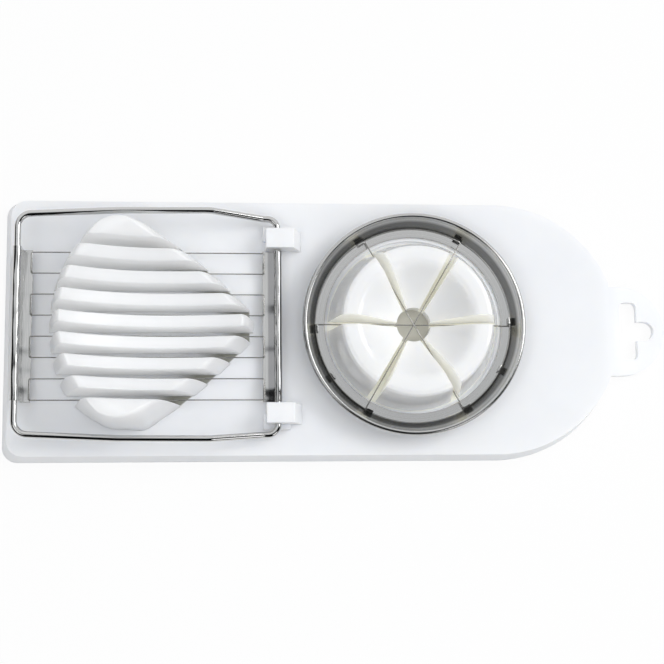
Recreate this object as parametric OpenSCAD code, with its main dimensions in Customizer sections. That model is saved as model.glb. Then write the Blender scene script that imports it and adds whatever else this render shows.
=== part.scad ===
// Two-in-one egg slicer and wedger board.
// Millimetres. X runs along the board toward the hanging tab, Y across it, Z up.
// The origin is on the table, in the middle of the overall box.

/* [Board] */
// Overall length, hanging tab included
overall_l = 250; // [220:1:280]
// Width at the foot of the skirt
board_w = 98; // [85:0.5:115]
// Height of the deck above the table
deck_h = 10; // [7:0.5:14]
// Lean of the long sides and of the round end over the skirt height
side_lean = 1.6; // [0.5:0.1:3]
// Lean of the square end over the skirt height
end_lean = 2.8; // [0.5:0.1:4]
// Wall thickness of the moulding
wall = 2; // [1.4:0.1:3]
// Radius of the square-end corners at the foot
corner_r = 6; // [3:0.5:12]
// X of the centre of the round end
round_x = 57.9; // [50:0.1:66]
// X at the foot where the round end is cut straight behind the tab
nose_x = 103.2; // [98:0.1:107]
// Lean of that straight part over the skirt height
nose_lean = 1.3; // [0.5:0.1:3]

/* [Hanging tab] */
// Radius of the tab
tab_r = 17.2; // [14:0.1:20]
// Thickness of the tab
tab_t = 3; // [2:0.1:4]
// Width of the hanging slot
tab_slot_w = 6.8; // [5:0.1:8]
// Length of the hanging slot
tab_slot_l = 22.4; // [16:0.1:26]
// Corner radius of the slot
tab_slot_r = 2.2; // [1:0.1:3.2]
// Radius of the round bay beside the slot
tab_bay_r = 3.7; // [3:0.1:5]

/* [Egg cradle] */
// Distance from slot to slot
slot_pitch = 7.8; // [7:0.1:9]
// Width of a slot
slot_w = 3.4; // [2.4:0.1:4.2]
// Number of slots
slot_n = 8; // [6:1:8]
// X of the centre of the rounded back of the cradle
leaf_x = -60; // [-66:0.5:-54]
// Radius of the back of the cradle at the rim
leaf_back_r = 44; // [40:0.5:48]
// Radius of the two shoulders at the rim
leaf_shoulder_r = 12; // [8:0.5:16]
// Distance of the two flanks from the centre, at the rim
leaf_flank_d = 16.7; // [14:0.1:20]
// Turn of the flank normals away from X
leaf_flank_a = 50.6; // [44:0.1:58]
// X of the nose centre, measured from the centre of the back
leaf_nose_x = 17.8; // [14:0.1:22]
// Lean of the cradle wall per millimetre of height
leaf_lean = 0.16; // [0:0.01:0.25]
// Height of the rim above the table
rim_z = 37; // [30:0.5:42]
// Lowest point of the bowl above the table
bowl_z = 23.3; // [18:0.1:28]
// Radius of the bowl across the slats and toward the back
bowl_r = 54; // [40:1:70]
// Radius of the bowl along the slats toward the nose
bowl_long_r = 105; // [70:1:140]

/* [Cutting bail] */
// Diameter of the bail rod
rod_d = 2.4; // [1.8:0.1:3]
// X of the hinge line
hinge_x = -24.1; // [-30:0.1:-18]
// Height of the hinge line
hinge_z = 14; // [12.5:0.1:16]
// Height of the level part of the arms
arm_z = 19.7; // [16:0.1:22]
// Half distance between the arms where they are widest
arm_y = 42; // [38:0.1:44]
// Half distance between the arms at the hinge line
hinge_y = 40.2; // [37:0.1:43]
// X of the free end of the bail
free_x = -118.5; // [-121:0.1:-112]
// Diameter of a wire
wire_d = 0.45; // [0.3:0.05:0.7]
// Thickness of the two wire strips
strip_t = 0.35; // [0.3:0.05:0.6]
// Reach of the free strip from the rod to its edge
free_reach = 4.9; // [4:0.1:7]
// Reach of the hinge strip from the rod to its edge
hinge_reach = 5.5; // [4:0.1:7]

/* [Hinge lugs] */
// Width of a lug along the hinge line
lug_w = 7.4; // [5:0.1:9]
// Distance of the lug middle from the centre line
lug_y = 32.4; // [28:0.1:36]
// Height of the lug top
lug_top = 18; // [16.5:0.1:20]
// Running play round the rod in the lugs
hinge_play = 0.08; // [0.03:0.01:0.1]

/* [Wedge cup] */
// X of the cup centre
cup_x = 25.9; // [20:0.1:34]
// Radius where the funnel of the cup reaches the crest
crest_r = 21; // [18:0.1:24]
// Width of the crest
crest_w = 6.2; // [3:0.1:8]
// Height of the crest
crest_z = 30; // [24:0.5:33]
// Radius of the petals at their foot
foot_r = 31.4; // [28:0.1:33]
// Radius of the hub recess
hub_r = 6.3; // [4:0.1:8]
// Height of the petals at the hub
hub_z = 17.6; // [15:0.1:20]
// Floor of the cup between the petals
cup_floor_z = 12; // [11:0.1:13]
// Width of the radial slots at the hub
cup_slot_in = 1.9; // [1:0.1:3]
// Width of the radial slots at the crest
cup_slot_out = 3.5; // [2:0.1:4]

/* [Wedger ring] */
// X of the middle of the loose ring
ring_x = 26.25; // [20:0.05:34]
// Y of the middle of the loose ring
ring_y = 0.5; // [-0.8:0.05:0.8]
// Outer radius over the rolled bead
ring_r = 41.5; // [38:0.1:44]
// Radius of the inner edge of the flange
ring_in_r = 33.1; // [30:0.1:36]
// Height of the flange top
flange_z = 14.2; // [13:0.1:16]
// Height of the bead centre
bead_z = 18.2; // [16:0.1:20]
// Radius of the rolled bead
bead_r = 1.05; // [0.7:0.05:1.4]
// Sheet thickness of the ring
ring_t = 0.6; // [0.4:0.05:1]

/* [View] */
// Sub-part drawn, all for the whole object

/* [Hidden] */
$fn = 96;
e = 0.01;
half_w = board_w / 2;
x_back = -overall_l / 2;
x_tip = overall_l / 2;
rod_r = rod_d / 2;
wire_r = wire_d / 2;
slot_y0 = slot_pitch * (slot_n - 1) / 2;
slat_w = slot_pitch - slot_w;
rim_h = rim_z - deck_h;
free_bend = 5;
hinge_bend = 3.8;
rise_x0 = -29;
rise_x1 = -49;
bow = 2.66;
strip_half = 28.1;
tongue_n = 4;
tongue_w = 6.9;
plate_z = hinge_z - rod_r;
wire_z = plate_z + 0.02 + wire_r;
lace_tongue_w = 2.8;
tongue_r = 36;
lace_r = tongue_r + wire_r + 0.05;
lace_z = flange_z + wire_r + 0.03;
lace_off = lace_tongue_w / 2 + wire_r + 0.05;
lace_step = wire_d + 0.04;
room_in_r = 11;
room_out_r = foot_r - 2.4;
room_side = cup_slot_out / 2 + wall;
tongue_angles = [1.9, 62, 122.5, 182.7, 212.5, 242.3, 302.3, 332.5];

// ---------- shared shapes ----------

// Board body of a given height, drawn in by s all round: a leaning skirt with a
// round end and two rounded corners. Planes, a cone and two cylinders only.
module board_body(h, s, lean, back_lean) {
  hw = half_w - s;
  xb = x_back + s;
  difference() {
    intersection() {
      translate([xb - 1, -hw - 1, 0])
        cube([round_x - xb + hw + 1, 2 * hw + 2, h]);
      board_side(hw, atan(lean / h));
      mirror([0, 1, 0])
        board_side(hw, atan(lean / h));
      board_back(xb, atan(back_lean / h));
      board_nose(nose_x - s, atan(nose_lean / deck_h));
    }
    board_round_cut(h, hw, lean);
    for (m = [0, 1])
      mirror([0, m, 0])
        board_corner_cut(h, xb, hw, corner_r - s, lean, back_lean);
  }
}

// What the round end takes away: the plan beyond its centre, outside a cone
module board_round_cut(h, hw, lean) {
  k = lean / h;
  translate([round_x, 0, -1])
    difference() {
      linear_extrude(height = h + 2)
        polygon([[0, 0], [90 * cos(87.5), -90 * sin(87.5)], [140, -90],
                 [140, 90], [90 * cos(87.5), 90 * sin(87.5)]]);
      translate([0, 0, -1])
        cylinder(h = h + 4, r1 = hw + 2 * k, r2 = hw - k * (h + 2), $fn = 180);
    }
}

// What a corner of the square end takes away: the corner outside a round post
// that leans with both faces, so it touches each of them along a line
module board_corner_cut(h, xb, hw, r, lean, back_lean) {
  l = norm([back_lean, lean, h]);
  rx = asin(lean / l);
  ry = atan(back_lean / h);
  nx = -sin(ry) * lean / norm([lean, h]);
  a0 = 90 - asin(nx) + 3;
  translate([xb + r / cos(ry), hw - r * norm([lean, h]) / h, 0])
    rotate([0, ry, 0])
      rotate([rx, 0, 0])
        translate([0, 0, -8])
          difference() {
            linear_extrude(height = 30)
              polygon([[0, 0], [40 * cos(a0), 40 * sin(a0)], [-40, 40],
                       [40 * cos(177), 40 * sin(177)]]);
            translate([0, 0, -1])
              cylinder(h = 32, r = r, $fn = 64);
          }
}

// Half space under one leaning long side
module board_side(hw, a) {
  translate([0, hw, 0])
    rotate([a, 0, 0])
      translate([-200, -300, -50])
        cube([400, 300, 200]);
}

// Half space in front of the leaning square end
module board_back(xb, a) {
  translate([xb, 0, 0])
    rotate([0, a, 0])
      translate([0, -200, -50])
        cube([400, 400, 200]);
}

// Half space behind the leaning straight part of the round end
module board_nose(xn, a) {
  translate([xn, 0, 0])
    rotate([0, -a, 0])
      translate([-400, -200, -50])
        cube([400, 400, 200]);
}

// Cradle block before the bowl and the slots: a rounded back and two flat flanks,
// with the shoulders and the nose rounded; every face leans alike.
module leaf_block() {
  d = leaf_lean * rim_h;
  rho = leaf_back_r - leaf_shoulder_r;
  fa = leaf_flank_a + acos((leaf_flank_d - leaf_shoulder_r) / rho);
  nose_r = leaf_flank_d - leaf_nose_x * cos(leaf_flank_a);
  translate([leaf_x, 0, deck_h])
    difference() {
      intersection() {
        cylinder(h = rim_h, r1 = leaf_back_r + d, r2 = leaf_back_r, $fn = 180);
        leaf_flank();
        mirror([0, 1, 0])
          leaf_flank();
      }
      for (m = [0, 1])
        mirror([0, m, 0])
          leaf_corner(rho * cos(fa), rho * sin(fa), leaf_shoulder_r,
                      leaf_flank_a + 5, fa - 5);
      leaf_corner(leaf_nose_x, 0, nose_r, 5 - leaf_flank_a, leaf_flank_a - 5);
    }
}

// What a rounded corner takes away: the plan wedge between two directions,
// outside a leaning cone
module leaf_corner(x, y, r, a0, a1) {
  am = (a0 + a1) / 2;
  translate([x, y, -1])
    difference() {
      linear_extrude(height = rim_h + 2)
        polygon([[0, 0], [70 * cos(a0), 70 * sin(a0)], [90 * cos(am), 90 * sin(am)],
                 [70 * cos(a1), 70 * sin(a1)]]);
      translate([0, 0, -1])
        cylinder(h = rim_h + 4, r1 = r + leaf_lean * (rim_h + 2), r2 = r - leaf_lean * 2);
    }
}

// Half space behind one leaning flank
module leaf_flank() {
  rotate([0, 0, leaf_flank_a])
    translate([leaf_flank_d + leaf_lean * rim_h, 0, 0])
      rotate([0, -atan(leaf_lean), 0])
        translate([-200, -150, -60])
          cube([200, 300, 200]);
}

// Hollow that receives the egg: a ball toward the back and a long barrel of the
// same cross radius toward the nose, meeting tangent on one cross plane.
module egg_bowl() {
  bx = -66;
  intersection() {
    translate([bx, 0, bowl_z + bowl_r])
      rotate([90, 0, 0])
        sphere(r = bowl_r, $fn = 180);
    translate([bx - 60, -50, bowl_z - 1])
      cube([60, 100, 40]);
  }
  intersection() {
    translate([bx, 0, bowl_z + bowl_long_r])
      rotate([90, 0, 0])
        rotate_extrude($fn = 240)
          barrel_profile();
    translate([bx, -50, bowl_z - 1])
      cube([60, 100, 40]);
  }
}

// Half profile of the barrel: a cylinder with a bulging side
module barrel_profile() {
  intersection() {
    union() {
      translate([bowl_long_r - bowl_r, 0])
        circle(r = bowl_r, $fn = 240);
      translate([0, -bowl_r])
        square([bowl_long_r - bowl_r, 2 * bowl_r]);
    }
    translate([0, -45])
      square([bowl_long_r + 1, 90]);
  }
}

// Radial profile of the petals: funnel, rounded crest and steep outside
module petal_profile() {
  ro = crest_r + crest_w;
  polygon([[2, cup_floor_z], [2, hub_z - 2.8], [hub_r, hub_z],
           [crest_r - 2.2, crest_z - 2.1], [crest_r, crest_z - 0.5],
           [crest_r + 2, crest_z], [ro - 1.6, crest_z], [ro, crest_z - 0.7],
           [ro + 0.9, crest_z - 2.6], [foot_r, cup_floor_z]]);
}

// Radial profile of the room inside the petals, open to the underside
module petal_core_profile() {
  ro = crest_r + crest_w;
  polygon([[room_in_r, -2], [room_in_r, hub_z + 1.3], [crest_r - 1.9, crest_z - 4.7],
           [crest_r + 0.6, crest_z - 2.8], [ro - 1.9, crest_z - 2.6],
           [ro - 1, crest_z - 4.2], [room_out_r, cup_floor_z], [room_out_r, -2]]);
}

// Point on the side of a slot that runs 30 degrees off +X, r out, w wide
function slot_side(r, w) = [r * cos(30) + w / 2 * sin(30), r * sin(30) - w / 2 * cos(30)];

// Plan of one petal, middle along +X, between its two slots
module petal_plan() {
  p = [slot_side(3.4, cup_slot_in), slot_side(hub_r, cup_slot_in),
       slot_side(crest_r + 3, cup_slot_out), slot_side(45, cup_slot_out)];
  polygon([p[0], p[1], p[2], p[3], [p[3][0], -p[3][1]], [p[2][0], -p[2][1]],
           [p[1][0], -p[1][1]], [p[0][0], -p[0][1]]]);
}

// Wedge plan of the room inside one petal, clear of both slots
module petal_room_plan() {
  x0 = 2 * room_side;
  polygon([[x0, 0], [x0 + 60 * cos(30), -60 * sin(30)], [x0 + 60 * cos(30), 60 * sin(30)]]);
}

// Rod between two points
module rod(a, b, r) {
  d = b - a;
  l = norm(d);
  translate(a)
    rotate([0, acos(d[2] / l), atan2(d[1], d[0])])
      cylinder(h = l, r = r, $fn = 32);
}

// Bend of a rod in the XY plane, centred at c, from angle a over a sweep
module bend(c, br, a, sweep, r, n) {
  translate(c)
    rotate([0, 0, a])
      rotate_extrude(angle = sweep, $fn = n)
        translate([br, 0])
          circle(r = r, $fn = 32);
}

// ---------- board and what is moulded on it ----------

// Flat top of the board with the round foot of the cup, open under the petals
module board_deck() {
  color("white")
    difference() {
      union() {
        intersection() {
          board_body(deck_h, 0, side_lean, end_lean);
          translate([-200, -200, deck_h - wall])
            cube([400, 400, 20]);
        }
        translate([cup_x, 0, deck_h - 1])
          cylinder(h = cup_floor_z - deck_h + 1, r = 36, $fn = 144);
        ring_seat();
      }
      for (k = [0:5])
        translate([cup_x, 0, 0])
          rotate([0, 0, 30 + 60 * k])
            petal_room_cut();
    }
}

// Room of one petal carried down through the deck
module petal_room_cut() {
  intersection() {
    translate([0, 0, 1])
      linear_extrude(height = 20)
        petal_room_plan();
    difference() {
      cylinder(h = 20, r = room_out_r, $fn = 144);
      translate([0, 0, -1])
        cylinder(h = 30, r = room_in_r, $fn = 96);
    }
  }
}

// Leaning wall under the edge of the deck, on which the board stands
module board_skirt() {
  color("white")
    difference() {
      intersection() {
        board_body(deck_h, 0, side_lean, end_lean);
        translate([-200, -200, -1])
          cube([400, 400, deck_h - wall + 1]);
      }
      translate([0, 0, -1])
        board_body(deck_h + 2, wall, 1.2 * side_lean, 1.2 * end_lean);
    }
}

// Raised ledge the wedger ring sits on
module ring_seat() {
  translate([cup_x, 0, deck_h - 1])
    difference() {
      cylinder(h = flange_z - ring_t - 0.3 - deck_h + 1, r = 36, $fn = 144);
      translate([0, 0, -1])
        cylinder(h = 20, r = 32.4, $fn = 144);
    }
}

// Thin tab with the hanging hole, grown from the straight part of the round end
module hanging_tab() {
  color("white")
    difference() {
      union() {
        translate([x_tip - tab_r, 0, 0])
          cylinder(h = tab_t, r = tab_r);
        translate([nose_x - 4, -tab_r, 0])
          cube([x_tip - tab_r - nose_x + 4, 2 * tab_r, tab_t]);
      }
      board_nose(nose_x, atan(nose_lean / deck_h));
      tab_hole();
    }
}

// Slot with rounded corners and a round bay toward the tip
module tab_hole() {
  sx = x_tip - 10.5;
  bx = x_tip - 4.1 - tab_bay_r;
  r = tab_slot_r;
  translate([sx - tab_slot_w, -tab_slot_l / 2 + r, -1])
    cube([tab_slot_w, tab_slot_l - 2 * r, tab_t + 2]);
  translate([sx - tab_slot_w + r, -tab_slot_l / 2, -1])
    cube([tab_slot_w - 2 * r, tab_slot_l, tab_t + 2]);
  for (m = [-1, 1])
    for (x = [sx - r, sx - tab_slot_w + r])
      translate([x, m * (tab_slot_l / 2 - r), -1])
        cylinder(h = tab_t + 2, r = r, $fn = 48);
  translate([sx - 2, -tab_bay_r, -1])
    cube([bx - sx + 2, 2 * tab_bay_r, tab_t + 2]);
  translate([bx, 0, -1])
    cylinder(h = tab_t + 2, r = tab_bay_r, $fn = 48);
}

// Lug with the bore that holds the bail rod: a block that slopes down toward the
// cup, with a low foot on its outer side
module hinge_lug(s) {
  color("white")
    difference() {
      union() {
        translate([0, s * lug_y + lug_w / 2, 0])
          rotate([90, 0, 0])
            linear_extrude(height = lug_w)
              polygon([[-28.4, deck_h], [-28.4, lug_top], [-18.2, lug_top],
                       [-14.8, deck_h]]);
        translate([-29.4, s * lug_y - (s > 0 ? 0 : lug_w / 2 + 2), deck_h])
          cube([10, lug_w / 2 + 2, 1.8]);
      }
      translate([hinge_x, s * lug_y, hinge_z])
        rotate([90, 0, 0])
          cylinder(h = lug_w + 6, r = rod_r + hinge_play, center = true, $fn = 48);
    }
}

module hinge_lug_1() {
  hinge_lug(1);
}

module hinge_lug_2() {
  hinge_lug(-1);
}

// One slat of the cradle, between two cross planes
module slat(y0, y1) {
  color("white")
    difference() {
      intersection() {
        leaf_block();
        translate([-130, y0, deck_h])
          cube([120, y1 - y0, rim_h]);
      }
      egg_bowl();
    }
}

// Slat number k counted from the far side, 0 and slot_n being the end caps
module slat_k(k) {
  yc = slot_y0 + slot_pitch / 2 - slot_pitch * k;
  far = k == 0 ? 60 : yc + slat_w / 2;
  near = k == slot_n ? -60 : yc - slat_w / 2;
  slat(near, far);
}

module cradle_slat_1() {
  slat_k(0);
}

module cradle_slat_2() {
  slat_k(1);
}

module cradle_slat_3() {
  slat_k(2);
}

module cradle_slat_4() {
  slat_k(3);
}

module cradle_slat_5() {
  slat_k(4);
}

module cradle_slat_6() {
  slat_k(5);
}

module cradle_slat_7() {
  slat_k(6);
}

module cradle_slat_8() {
  slat_k(7);
}

module cradle_slat_9() {
  slat_k(8);
}

// One hollow petal of the wedge cup: a slice of a round funnel with a rounded crest
module petal(k) {
  color("white")
    translate([cup_x, 0, 0])
      rotate([0, 0, 30 + 60 * k])
        difference() {
          intersection() {
            rotate_extrude($fn = 180)
              petal_profile();
            linear_extrude(height = 45)
              petal_plan();
          }
          intersection() {
            rotate_extrude($fn = 180)
              petal_core_profile();
            translate([0, 0, 0.5])
              linear_extrude(height = 45)
                petal_room_plan();
          }
          translate([0, 0, -1])
            cylinder(h = 50, r = hub_r, $fn = 64);
        }
}

module cup_petal_1() {
  petal(0);
}

module cup_petal_2() {
  petal(1);
}

module cup_petal_3() {
  petal(2);
}

module cup_petal_4() {
  petal(3);
}

module cup_petal_5() {
  petal(4);
}

module cup_petal_6() {
  petal(5);
}

// ---------- cutting bail ----------

// Closed rod frame: hinge bar, two cranked and slightly bowed arms, free-end bar
module bail_rod() {
  hb = hinge_y - hinge_bend;
  a = [hinge_x - hinge_bend, hinge_y, hinge_z];
  b = [rise_x0, hinge_y, hinge_z];
  c = [rise_x1, arm_y, arm_z];
  br = (rise_x1 - free_x - free_bend) / sin(bow);
  fb = arm_y - free_bend - br * (1 - cos(bow));
  d = [rise_x1 - (br + free_bend) * sin(bow),
       arm_y - (br + free_bend) * (1 - cos(bow)), arm_z];
  color("silver")
    union() {
      rod([hinge_x, -hb, hinge_z], [hinge_x, hb, hinge_z], rod_r);
      rod([free_x, -fb, arm_z], [free_x, fb, arm_z], rod_r);
      for (m = [0, 1])
        mirror([0, m, 0]) {
          bend([a[0], hb, hinge_z], hinge_bend, 0, 90, rod_r, 64);
          rod(a, b, rod_r);
          rod(b, c, rod_r);
          for (p = [a, b, c, d])
            translate(p)
              rotate([0, 90, 0])
                sphere(r = rod_r * 1.03, $fn = 20);
          for (p = [[hinge_x, hb, hinge_z], [free_x, fb, arm_z]])
            translate(p)
              rotate([90, 0, 0])
                sphere(r = rod_r * 1.03, $fn = 20);
          bend([rise_x1, arm_y - br - free_bend, arm_z], br + free_bend, 90, bow, rod_r, 1440);
          bend([free_x + free_bend, fb, arm_z], free_bend, 90 + bow, 90 - bow, rod_r, 64);
        }
    }
}

// Folded strip: a hook round the rod, a web down its inner side and a flange whose
// edge carries four tongues. Drawn for a rod at the origin, flange toward +X.
module strip_solid(drop, reach) {
  ro = rod_r + strip_t;
  rotate([90, 0, 0])
    linear_extrude(height = 2 * strip_half, center = true) {
      difference() {
        circle(r = ro, $fn = 48);
        circle(r = rod_r, $fn = 48);
        translate([0, -5])
          square([5, 5]);
      }
      translate([rod_r, -drop - strip_t])
        square([strip_t, drop + strip_t]);
      translate([rod_r, -drop - strip_t])
        square([reach - rod_r, strip_t]);
    }
  strip_tongues(reach, -drop);
}

// Four tongues standing on the edge of a flange whose top is at z
module strip_tongues(reach, z) {
  for (k = [0:tongue_n - 1])
    translate([reach - strip_t, slot_pitch * (2 * k - tongue_n + 1) - tongue_w / 2, z - 0.1])
      cube([strip_t, tongue_w, 1.6]);
}

module wire_strip_free() {
  color("silver")
    translate([free_x, 0, arm_z])
      strip_solid(arm_z - plate_z, free_reach);
}

module wire_strip_hinge() {
  color("silver")
    translate([hinge_x, 0, hinge_z])
      mirror([1, 0, 0])
        strip_hinge_solid();
}

// The hinge-side strip is flat: its flange runs out just under the rod
module strip_hinge_solid() {
  ro = rod_r + strip_t;
  rotate([90, 0, 0])
    linear_extrude(height = 2 * strip_half, center = true) {
      difference() {
        circle(r = ro, $fn = 48);
        circle(r = rod_r, $fn = 48);
        translate([0, -rod_r])
          square([5, 5]);
      }
      translate([0, -ro])
        square([hinge_reach, strip_t]);
    }
  strip_tongues(hinge_reach, -rod_r);
}

// Closed wire loop laid round one tongue of each strip
module wire_loop(k) {
  yc = slot_pitch * (2 * k - tongue_n + 1);
  gap = strip_t + 0.05 + wire_r;
  x0 = free_x + free_reach - gap;
  x1 = hinge_x - hinge_reach + gap;
  hy = slot_pitch / 2;
  color("silver") {
    for (s = [-1, 1]) {
      rod([x0, yc + s * hy, wire_z], [x1, yc + s * hy, wire_z], wire_r);
      translate([x0, yc + s * hy, wire_z])
        sphere(r = wire_r, $fn = 24);
      translate([x1, yc + s * hy, wire_z])
        sphere(r = wire_r, $fn = 24);
    }
    rod([x0, yc - hy, wire_z], [x0, yc + hy, wire_z], wire_r);
    rod([x1, yc - hy, wire_z], [x1, yc + hy, wire_z], wire_r);
  }
}

module wire_loop_1() {
  wire_loop(3);
}

module wire_loop_2() {
  wire_loop(2);
}

module wire_loop_3() {
  wire_loop(1);
}

module wire_loop_4() {
  wire_loop(0);
}

// ---------- wedger ring ----------

// Pressed ring: flange, leaning wall and rolled bead, with eight lanced tongues
module wedger_ring() {
  wall_out = ring_r - 2 * bead_r;
  color("silver")
    translate([ring_x, ring_y, 0]) {
      rotate_extrude($fn = 180) {
        polygon([[ring_in_r, flange_z - ring_t], [ring_in_r, flange_z],
                 [36.7, flange_z], [wall_out + 0.1, bead_z + 0.2],
                 [wall_out + 0.1, bead_z - 1.2], [37.3, flange_z - ring_t]]);
        translate([ring_r - bead_r, bead_z])
          circle(r = bead_r, $fn = 40);
      }
      for (a = tongue_angles)
        rotate([0, 0, a])
          translate([tongue_r - 0.5, -lace_tongue_w / 2, flange_z - 0.1])
            cube([0.5, lace_tongue_w, 2]);
    }
}

// Point where the lacing turns at the tongue with angle a, at height z
function lace_point(a, z) =
  let (x = sqrt(lace_r * lace_r - lace_off * lace_off))
  [x * cos(a) + lace_off * sin(a), x * sin(a) - lace_off * cos(a), z];

// One laced wire: it crosses the cup three times and runs round behind the tongues
module wedger_wires() {
  t = tongue_angles;
  color("silver")
    translate([ring_x, ring_y, 0]) {
      cross_wire(t[0], t[3], 0);
      cross_wire(t[1], t[5], 1);
      cross_wire(t[2], t[6], 2);
      rim_run(t[3], t[5]);
      rim_run(t[6], t[0] + 360);
      rim_run(t[1], t[2]);
    }
}

// Wire number k from the bottom, across the cup between two tongues
module cross_wire(a0, a1, k) {
  z = lace_z + k * lace_step;
  rod(lace_point(a0, z), lace_point(a1, z), wire_r);
  for (a = [a0, a1]) {
    translate(lace_point(a, z))
      sphere(r = wire_r * 1.04, $fn = 24);
    if (k > 0) {
      rod(lace_point(a, lace_z), lace_point(a, z), wire_r);
      translate(lace_point(a, lace_z))
        sphere(r = wire_r * 1.04, $fn = 24);
    }
  }
}

// Wire lying on the flange along the foot of the wall, from tongue to tongue
module rim_run(a0, a1) {
  d = asin(lace_off / lace_r);
  rotate([0, 0, a0 - d])
    translate([0, 0, lace_z])
      rotate_extrude(angle = a1 - a0, $fn = 144)
        translate([lace_r, 0])
          circle(r = wire_r, $fn = 16);
}

board_deck();
board_skirt();
hanging_tab();
hinge_lug_1();
hinge_lug_2();
cradle_slat_1();
cradle_slat_2();
cradle_slat_3();
cradle_slat_4();
cradle_slat_5();
cradle_slat_6();
cradle_slat_7();
cradle_slat_8();
cradle_slat_9();
cup_petal_1();
cup_petal_2();
cup_petal_3();
cup_petal_4();
cup_petal_5();
cup_petal_6();
bail_rod();
wire_strip_free();
wire_strip_hinge();
wire_loop_1();
wire_loop_2();
wire_loop_3();
wire_loop_4();
wedger_ring();
wedger_wires();
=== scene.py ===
# %% [markdown]
# # A two-in-one egg slicer, dressed
# The tool is a white moulded board. A slatted cradle holds an egg under a hinged
# frame of cutting wires, and a petalled cup holds one under a loose ring of
# crossing wires. The solids come from the imported model, already to size, and this
# lesson gives them soft edges, bright metal and real surfaces.

# %% Load the imported model
import bpy
import bmesh
import math
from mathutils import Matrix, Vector


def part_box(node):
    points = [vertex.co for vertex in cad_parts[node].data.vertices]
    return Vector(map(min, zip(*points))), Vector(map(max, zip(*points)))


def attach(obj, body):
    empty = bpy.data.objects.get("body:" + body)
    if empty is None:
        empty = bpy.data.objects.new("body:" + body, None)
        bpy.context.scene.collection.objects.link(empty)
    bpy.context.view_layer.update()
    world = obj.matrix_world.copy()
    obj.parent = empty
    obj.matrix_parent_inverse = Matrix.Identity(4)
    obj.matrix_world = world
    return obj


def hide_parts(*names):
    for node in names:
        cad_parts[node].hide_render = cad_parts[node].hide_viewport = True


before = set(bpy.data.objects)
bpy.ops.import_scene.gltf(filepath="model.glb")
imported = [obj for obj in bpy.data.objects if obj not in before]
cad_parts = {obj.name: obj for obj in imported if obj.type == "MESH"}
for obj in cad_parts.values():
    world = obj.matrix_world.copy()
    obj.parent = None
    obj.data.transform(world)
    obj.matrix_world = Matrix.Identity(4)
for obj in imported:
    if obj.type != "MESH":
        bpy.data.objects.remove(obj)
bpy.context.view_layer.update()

# %% [markdown]
# ## Numbers of the tool
# The solids were drawn in millimetres and Blender works in metres, so every
# measure is written in millimetres and turned once. These are the few sizes that
# the pieces below share: where the hinge is, how high the wires run, how the
# cradle's flanks are turned, and the sections of the rod and the ring.

# %% Shared sizes
MM = 0.001
ROD_R = 1.2
HINGE_X, HINGE_Z = -24.1, 14.0
ARM_Y, ARM_Z, FREE_Y, HINGE_Y = 42.0, 19.7, 40.5, 40.2
FREE_X = -118.5
RISE = (-29.0, -49.0)
WIRE_Z, WIRE_R = 13.045, 0.225
SLOT_PITCH = 7.8
LEAF_X, FLANK_A = -60.0, 50.6
CUP_X = 25.9
RING_X, RING_Y = 26.25, 0.5
RING_OUT, RING_IN, FLANGE_Z, BEAD_Z, BEAD_R = 41.5, 33.1, 14.2, 18.2, 1.05
TONGUE_R, TONGUE_W = 36.0, 2.8
TONGUE_DEG = (1.9, 62, 122.5, 182.7, 212.5, 242.3, 302.3, 332.5)


def metres(*xyz):
    """A point in millimetres as a vector in metres."""
    return Vector(xyz) * MM


print("rod diameter %.1f mm, wires at %.2f mm" % (2 * ROD_R, WIRE_Z))

# %% [markdown]
# ## Small helpers for materials
# Colours are written as sRGB hex, the way a paint chip is read, and one function
# turns them to the linear values that a shader wants. A second one fills or links
# the inputs of a node, and a third adds a node with its settings in one line, so
# each material below reads as a short recipe from top to bottom.

# %% Helpers for colours and nodes
def paint(code):
    """sRGB hex to linear RGBA."""
    parts = [int(code[i:i + 2], 16) / 255 for i in (0, 2, 4)]
    return [c / 12.92 if c <= 0.04045 else ((c + 0.055) / 1.055) ** 2.4 for c in parts] + [1]


def fill(tree, node, **inputs):
    """Fills or links inputs, by name with _ for a space, or by number as in _0.
    A value is a number, a colour, a socket, or a node, which gives its first output."""
    for key, value in inputs.items():
        named = [s for s in node.inputs if s.enabled and s.name.replace(" ", "_") == key]
        socket = named[0] if named else node.inputs[int(key.strip("_"))]
        if isinstance(value, bpy.types.Node):
            value = value.outputs[0]
        if isinstance(value, bpy.types.NodeSocket):
            tree.links.new(value, socket)
        else:
            socket.default_value = value
    return node


def add(tree, kind, settings=None, **inputs):
    """Adds a node with its settings, of which stops are the colours of a ramp, and its inputs."""
    node = tree.nodes.new(kind)
    for key, value in (settings or {}).items():
        if key != "stops":
            setattr(node, key, value)
            continue
        for i, (at, colour) in enumerate(value):
            spot = node.color_ramp.elements[i] if i < 2 else node.color_ramp.elements.new(at)
            spot.position, spot.color = at, colour
    return fill(tree, node, **inputs)


def fades(tree, *steps):
    """The product of soft steps, each (value, low, high, amount below low, amount above high)."""
    share = 1.0
    for value, low, high, first, last in steps:
        step = add(tree, "ShaderNodeMapRange", None, Value=value, From_Min=low, From_Max=high,
                   To_Min=first, To_Max=last)
        share = add(tree, "ShaderNodeMath", {"operation": "MULTIPLY"}, _0=share, _1=step)
    return share


def blank(name):
    """An empty material with its tree and its shader."""
    mat = bpy.data.materials.new(name)
    mat.use_nodes = True
    tree = mat.node_tree
    tree.nodes.clear()
    shader = add(tree, "ShaderNodeBsdfPrincipled")
    add(tree, "ShaderNodeOutputMaterial", None, Surface=shader)
    return mat, tree, shader


print("white as linear:", [round(c, 3) for c in paint("F4F5F7")[:3]])

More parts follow.
